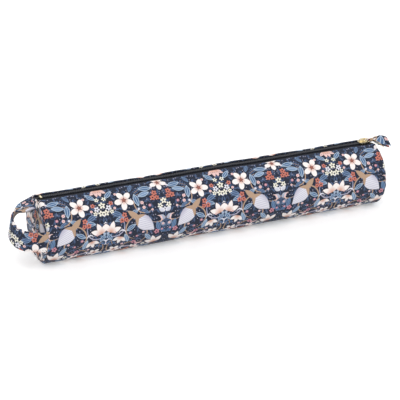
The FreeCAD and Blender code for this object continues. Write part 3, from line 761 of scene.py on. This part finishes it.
# The lining. Plain taupe cotton lines the wall and both ends, and its edges are sewn to the
# underside of the zip tape.
lining_cotton = cloth_material("lining_cotton", dye("93837A"), thread=0.4, sheen=0.1)
LINING_DEPTH, LINING_EDGE = 3.25 * MM, 7.2 * MM
for label, side in SIDES:
    lining, girth = wall_layer(f"{label}_lining_cotton", side, LINING_DEPTH, LINING_EDGE,
                               HALF - 3.6 * MM, 0.5 * MM, lining_cotton)
    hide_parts(f"{label}_lip_lining", *(["lining"] if side < 0 else []))
    bend_with_lip(lining, f"{label}_lip", side)
for label, side in ENDS:
    lining = end_round(f"{label}_end_lining_cotton", side, 4.0 * MM, HALF - 4.2 * MM, 0, 0, 0.4 * MM,
                       lining_cotton, (0, 0), (40, 40))
    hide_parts(f"{label}_end_lining")
    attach(lining, "case")

# The seam bindings. A folded bias tape of navy cotton covers the raw edges of each end seam inside
# the case. It is sewn through all the layers.
binding_tape = cloth_material("binding_tape", dye("2B3348"), thread=0.5, sheen=0.1)
BINDING_DEPTH = 4.2 * MM
for label, side in ENDS:
    edges = (side * (HALF - 11 * MM), side * (HALF - 4.2 * MM))
    binding = laid_cloth(
        f"{label}_binding", (min(edges), max(edges)), (-math.pi, math.pi),
        lambda x, turn: on_wall(x, turn, BINDING_DEPTH, 2 * HALF),
        lambda x, turn: (x / MM, turn * RADIUS / MM), 1.0 * MM, binding_tape, (8, 96))
    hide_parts(f"{label}_seam_binding")
    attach(binding, "case")

# The zip tapes. Two ribbed polyester tapes, nearly black, run the whole length under the hems and
# carry the teeth on their inner edges.
zip_tape = cloth_material("zip_tape", dye("1B1D27"), thread=0.55, roughness=0.75, sheen=0.0, bump=0.3)
TAPE_EDGE, TAPE_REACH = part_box("front_zip_tape")[1].y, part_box("front_zip_tape")[0].y
TAPE_HALF = HALF - 0.7 * MM
TAPE_DEPTH = 1.35 * MM
for label, side in SIDES:
    width = (abs(TAPE_EDGE), abs(TAPE_REACH))
    tape = laid_cloth(
        f"{label}_tape", (-TAPE_HALF, TAPE_HALF), width,
        lambda x, reach: on_wall(x, side * math.asin(reach / RADIUS), TAPE_DEPTH, 2 * HALF)
        + Vector((0, 0, 0.25 * MM * math.exp(-(reach - width[0]) / (1.5 * MM)))),
        lambda x, reach: (x / MM, reach / MM), 0.5 * MM, zip_tape, (180, 12))
    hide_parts(f"{label}_zip_tape", "zip_tape_left_end" if side < 0 else "zip_tape_right_end")
    bend_with_lip(tape, f"{label}_lip", side)

# The teeth. Moulded teeth of dark plastic, clamped on the edge of each tape; the two rows stand
# half a pitch apart and mesh along the middle.
zip_teeth, tree, shader = new_material("zip_teeth")
shader.inputs["Base Color"].default_value = dye("20232D")
shader.inputs["Roughness"].default_value = 0.42
PITCH = 2.0 * MM
TOOTH = Vector((0.95, 3.3, 1.5)) * MM
TOOTH_ASIDE = 1.15 * MM
FIRST_TOOTH = {-1: 0.6 * MM, 1: 1.6 * MM}
CHAIN_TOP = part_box("front_zip_teeth")[1].z
CHAIN_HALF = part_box("zip_chain_right_end")[1].x
for label, side in SIDES:
    bm = bmesh.new()
    x = -CHAIN_HALF + FIRST_TOOTH[side]
    while x < CHAIN_HALF - 0.4 * MM:
        middle = Vector((x, side * TOOTH_ASIDE, CHAIN_TOP - TOOTH.z / 2 + softness(x, 0.0)))
        pose = Matrix.LocRotScale(middle, None, TOOTH)
        bmesh.ops.create_cube(bm, size=1.0, matrix=pose)
        x += PITCH
    bmesh.ops.bevel(bm, geom=bm.edges, offset=0.28 * MM, segments=2, affect="EDGES", profile=0.5,
                    material=-1)
    for face in bm.faces:
        face.smooth = True
    row = piece_from(bm, f"{label}_teeth")
    row.data.materials.append(zip_teeth)
    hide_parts(f"{label}_zip_teeth", "zip_chain_left_end" if side < 0 else "zip_chain_right_end")
    bend_with_lip(row, f"{label}_lip", side)

# The metal parts. The slider, its bail, the stops and the pull ring are die-cast and plated in a
# pale gold, with edges rounded by tumbling.
pale_gold, tree, shader = new_material("pale_gold_metal")
cast = add(tree, "ShaderNodeTexNoise", add(tree, "ShaderNodeTexCoord").outputs["Object"])
cast.inputs["Scale"].default_value = 700
rough = add(tree, "ShaderNodeMapRange", cast.outputs[0], 0.3, 0.7, 0.18, 0.30)
tree.links.new(rough.outputs[0], shader.inputs["Roughness"])
shader.inputs["Base Color"].default_value = dye("EBDDB8")
shader.inputs["Metallic"].default_value = 1.0
for name in ("slider_body", "slider_bail", "bottom_stop", "top_stops"):
    part = frame["nodes"][name]
    part.data.materials.clear()
    part.data.materials.append(pale_gold)
    rounding = part.modifiers.new("tumbled_edges", "BEVEL")
    rounding.width = 0.22 * MM
    rounding.segments = 2
    rounding.limit_method = "ANGLE"
RING_CENTRE = Vector(joints["leaf_swing"]["pos_m"])
RING_RADIUS, RING_WIRE = 3.4 * MM, 0.5 * MM
bm = bmesh.new()
bmesh.ops.create_circle(bm, segments=14, radius=RING_WIRE,
                        matrix=Matrix.Translation(RING_CENTRE + Vector((RING_RADIUS, 0, 0)))
                        @ Matrix.Rotation(math.pi / 2, 4, "X"))
bmesh.ops.spin(bm, geom=bm.verts[:] + bm.edges[:], cent=RING_CENTRE, axis=(0, 0, 1),
               angle=math.tau, steps=56, use_merge=True)
bmesh.ops.recalc_face_normals(bm, faces=bm.faces)
for face in bm.faces:
    face.smooth = True
ring = piece_from(bm, "gold_ring")
ring.data.materials.append(pale_gold)
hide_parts("pull_ring")
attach(ring, "puller")


def on_path(points, share):
    """A place on a smooth line through points, from share 0 to 1."""
    spot = min(share, 0.9999) * (len(points) - 1)
    index = int(spot)
    near = [Vector(points[min(max(index + shift, 0), len(points) - 1)]) for shift in (-1, 0, 1, 2)]
    t = spot - index
    pull = (near[2] - near[0]) / 2, (near[3] - near[1]) / 2
    return (near[1] * (2 * t ** 3 - 3 * t ** 2 + 1) + near[2] * (3 * t ** 2 - 2 * t ** 3)
            + pull[0] * (t ** 3 - 2 * t ** 2 + t) + pull[1] * (t ** 3 - t ** 2))


# The leaf pull. A strip of the printed cotton is folded in two through the ring, gathered where
# the twine ties it, and cut off on the slant.
LEAF_YAW = math.radians(-35)
LEAF_FRAME = Matrix.Translation(RING_CENTRE) @ Matrix.Rotation(LEAF_YAW, 4, "Z")
TIE_AT = 7.4
LEAF_PATH = [(27.0, 0, -0.3), (20.0, 0, 1.0), (12.0, 0, 1.3), (TIE_AT, 0, 0.75), (4.6, 0, 0.95),
             (2.4, 0, 0), (4.6, 0, -0.95), (TIE_AT, 0, -0.75), (12.0, 0, -0.9), (19.0, 0, -1.0),
             (25.5, 0, -2.4)]
LEAF_WIDTH = 10.2
NECK_SHARE, NECK_REST = 0.34, 0.66
LEAF_ROLL = math.radians(52)


def leaf_place(share, across):
    """A point of the folded strip; across goes from -1 to 1."""
    middle = on_path(LEAF_PATH, share)
    from_tie = middle.x - TIE_AT
    half = LEAF_WIDTH / 2 * (NECK_SHARE + NECK_REST * (1 - math.exp(-(from_tie / 5.5) ** 2)))
    if from_tie < 0:
        half = LEAF_WIDTH / 2 * NECK_SHARE
    fold = 0.42 * math.cos(across * 7.5) * math.exp(-(from_tie / 4.5) ** 2)
    slant = 3.2 * across * max(0.0, (middle.x - 14) / 13)
    curl = 0.7 * across * across * max(0.0, (middle.x - 12) / 15)
    roll = LEAF_ROLL * (1 - math.exp(-(max(0.0, from_tie) / 6) ** 2))
    aside, over = across * half, fold - curl
    return LEAF_FRAME @ (Vector((
        middle.x - slant,
        aside * math.cos(roll) - over * math.sin(roll),
        middle.z + aside * math.sin(roll) + over * math.cos(roll))) * MM)


leaf = laid_cloth("leaf_cotton", (0, 1), (-1, 1), leaf_place,
                  lambda share, across: (share * 56 + HALF_REPEAT - 46, across * 5.1 + 22),
                  0.45 * MM, printed_cotton, (84, 18))
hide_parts("leaf_pull")
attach(leaf, "leaf")

# The twine. Two-ply jute is wound three times round the neck of the leaf and knotted; its two
# ends hang free and have frayed.
twine, tree, shader = new_material("jute_twine")
fibre = add(tree, "ShaderNodeTexNoise", add(tree, "ShaderNodeTexCoord").outputs["Object"])
fibre.inputs["Scale"].default_value = 2600
fibre.inputs["Detail"].default_value = 3
jute = paint(tree, fibre.outputs[0], dye("A88767"), dye("DCC3A4"))
tree.links.new(jute, shader.inputs["Base Color"])
shader.inputs["Roughness"].default_value = 0.95
PLY, TWIST = 0.27, 2.1


def neck(share):
    """The winding round the neck of the leaf."""
    turn = share * math.tau * 3
    return Vector((TIE_AT - 1.0 + 2.0 * share, 2.05 * math.cos(turn), 1.55 * math.sin(turn)))


LONG_END = [(TIE_AT, -1.9, 0.6), (TIE_AT + 2.5, -3.4, 1.4), (TIE_AT + 6.5, -5.6, 0.9),
            (TIE_AT + 10.5, -7.4, -1.2), (TIE_AT + 13.6, -8.3, -3.6)]
SHORT_END = [(TIE_AT, -1.9, 0.6), (TIE_AT + 1.6, 0.6, 2.4), (TIE_AT + 4.4, 2.8, 3.0),
             (TIE_AT + 7.6, 4.4, 2.6)]
KNOT = [(TIE_AT - 0.7, -2.0, -0.4), (TIE_AT + 0.2, -2.9, 0.2), (TIE_AT + 0.9, -2.2, 1.2),
        (TIE_AT, -1.4, 1.3), (TIE_AT - 0.8, -2.4, 0.8), (TIE_AT + 0.1, -3.0, 0.9)]
curve = bpy.data.curves.new("twine_tie", "CURVE")
curve.dimensions = "3D"
curve.bevel_resolution = 2
curve.bevel_depth = PLY * MM


def lay_strand(places, thickness):
    """One strand of the curve through places."""
    spline = curve.splines.new("POLY")
    spline.points.add(len(places) - 1)
    for point, place, share in zip(spline.points, places, thickness):
        point.co = (*(LEAF_FRAME @ (place * MM)), 1.0)
        point.radius = share


for start, steps in ((neck, 130), (LONG_END, 46), (SHORT_END, 46), (KNOT, 46)):
    middle = [start(i / steps) if callable(start) else on_path(start, i / steps) for i in range(steps + 1)]
    far = 0.0
    plies = ([], [])
    for index, spot in enumerate(middle):
        ahead = middle[min(index + 1, steps)] - middle[max(index - 1, 0)]
        far += (spot - middle[max(index - 1, 0)]).length
        side_way = ahead.cross(Vector((0.1, 0.2, 1))).normalized()
        up_way = ahead.cross(side_way).normalized()
        for ply, phase in zip(plies, (0, math.pi)):
            angle = far / TWIST * math.tau + phase
            ply.append(spot + (side_way * math.cos(angle) + up_way * math.sin(angle)) * PLY * 0.85)
    for ply in plies:
        lay_strand(ply, [1.0] * len(ply))
for tail, path in enumerate((LONG_END, SHORT_END)):
    tip, run = on_path(path, 1.0), (on_path(path, 1.0) - on_path(path, 0.9)).normalized()
    for hair in range(11):
        away = Vector([noise.noise(Vector((hair * 3.7, tail * 5.1, axis * 9.3))) for axis in range(3)])
        reach = 2.2 + 2.0 * noise.noise(Vector((hair * 1.9, tail * 2.3, 4.4)))
        places = [tip + run * (reach * t - 0.6) + away * (2.4 * t * t + 0.2) for t in (0, 0.35, 0.7, 1.0)]
        lay_strand(places, [0.42, 0.36, 0.3, 0.16])
tie = bpy.data.objects.new("twine_tie", curve)
scene.collection.objects.link(tie)
tie.data.materials.append(twine)
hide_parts("leaf_tie")
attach(tie, "leaf")

# The loop. A strip of the printed cotton is turned in along both edges, backed with plain taupe
# cotton and sewn into the left end seam, upright at the front and flat at the top.
backing_cotton = cloth_material("backing_cotton", dye("8F7F77"), thread=0.4, sheen=0.1)
LOOP_REACH, LOOP_WIDTH = 31.0, 22.0
FRONT_Y, TOP_UP, TOP_ACROSS = -33.85, 28.6, 8.0
SEWN_IN = 1.5
# Each line: how far out from the end, across and up the strip's middle is, and which way it faces.
LOOP = [
    ((-SEWN_IN, FRONT_Y, 0.0), (0, -1, 0)),
    ((0.45 * LOOP_REACH, FRONT_Y + 1.8, 1.5), (-0.15, -1, 0)),
    ((0.84 * LOOP_REACH, FRONT_Y + 10, 4.0), (-0.65, -0.8, 0.05)),
    ((1.00 * LOOP_REACH, FRONT_Y + 23, 10.0), (-1, -0.05, 0.1)),
    ((0.80 * LOOP_REACH, 0.4 * TOP_ACROSS, 0.60 * TOP_UP), (-0.85, 0.45, 0.30)),
    ((0.38 * LOOP_REACH, TOP_ACROSS, 0.84 * TOP_UP), (-0.40, 0.0, 0.92)),
    ((-SEWN_IN, TOP_ACROSS, TOP_UP), (0, -0.15, 1)),
]
loop_line = [Vector((-HALF / MM - out, across, AXIS_Z / MM + up)) for (out, across, up), _ in LOOP]
loop_facing = [Vector(facing) for _, facing in LOOP]


def loop_place(share, across, lift):
    """A point of the strip; across and lift are in millimetres from its middle line."""
    middle = on_path(loop_line, share)
    run = on_path(loop_line, min(1, share + 0.01)) - on_path(loop_line, max(0, share - 0.01))
    side_way = run.cross(on_path(loop_facing, share)).normalized()
    out_way = side_way.cross(run).normalized()
    soft = 0.5 * noise.noise(Vector((share * 7, across * 0.08, 2.0)))
    return (middle + side_way * across + out_way * (lift + soft)) * MM


EDGE_ROLL, TURN_IN = 0.75, 3.0


def strip_place(share, arc):
    """A point of the printed strip, arc being measured round its turned-in edges."""
    flat = LOOP_WIDTH / 2 - EDGE_ROLL
    bend = min(math.pi, max(0.0, abs(arc) - flat) / EDGE_ROLL)
    under = max(0.0, abs(arc) - flat - math.pi * EDGE_ROLL)
    across = min(abs(arc), flat) + math.sin(bend) * EDGE_ROLL - under
    crown = 0.25 * math.cos(math.pi * across / LOOP_WIDTH) if bend < 1.6 else 0.0
    return loop_place(share, math.copysign(across, arc), EDGE_ROLL * math.cos(bend) + crown)


LOOP_LENGTH = sum((on_path(loop_line, (i + 1) / 60) - on_path(loop_line, i / 60)).length for i in range(60))
strip_half = LOOP_WIDTH / 2 - EDGE_ROLL + math.pi * EDGE_ROLL + TURN_IN
strip = laid_cloth("loop_cotton", (0, 1), (-strip_half, strip_half), strip_place,
                   lambda share, arc: (share * LOOP_LENGTH + 30, arc + 30),
                   0.45 * MM, printed_cotton, (90, 44))
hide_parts("handle_strap")
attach(strip, "case")
BACKING_HALF = LOOP_WIDTH / 2 - 0.9
backing = laid_cloth("loop_backing", (0, 1), (-BACKING_HALF, BACKING_HALF),
                     lambda share, across: loop_place(share, across, -EDGE_ROLL - 0.45),
                     lambda share, across: (share * LOOP_LENGTH, across), 0.45 * MM, backing_cotton, (90, 10))
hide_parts("handle_backing")
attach(backing, "case")
STITCH_INSET, STITCH_LIFT, STITCH_SPACING = 2.2, 0.45, 1.3
steps = int(LOOP_LENGTH / STITCH_SPACING)
for label, side in SIDES:
    line = [loop_place((i + 1) / (steps + 2) + (0 if i % 2 else 0.35 / steps),
                       side * (LOOP_WIDTH / 2 - STITCH_INSET), EDGE_ROLL + STITCH_LIFT)
            for i in range(steps)]
    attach(stitch_row(f"loop_stitches_{label}", line, thread), "case")
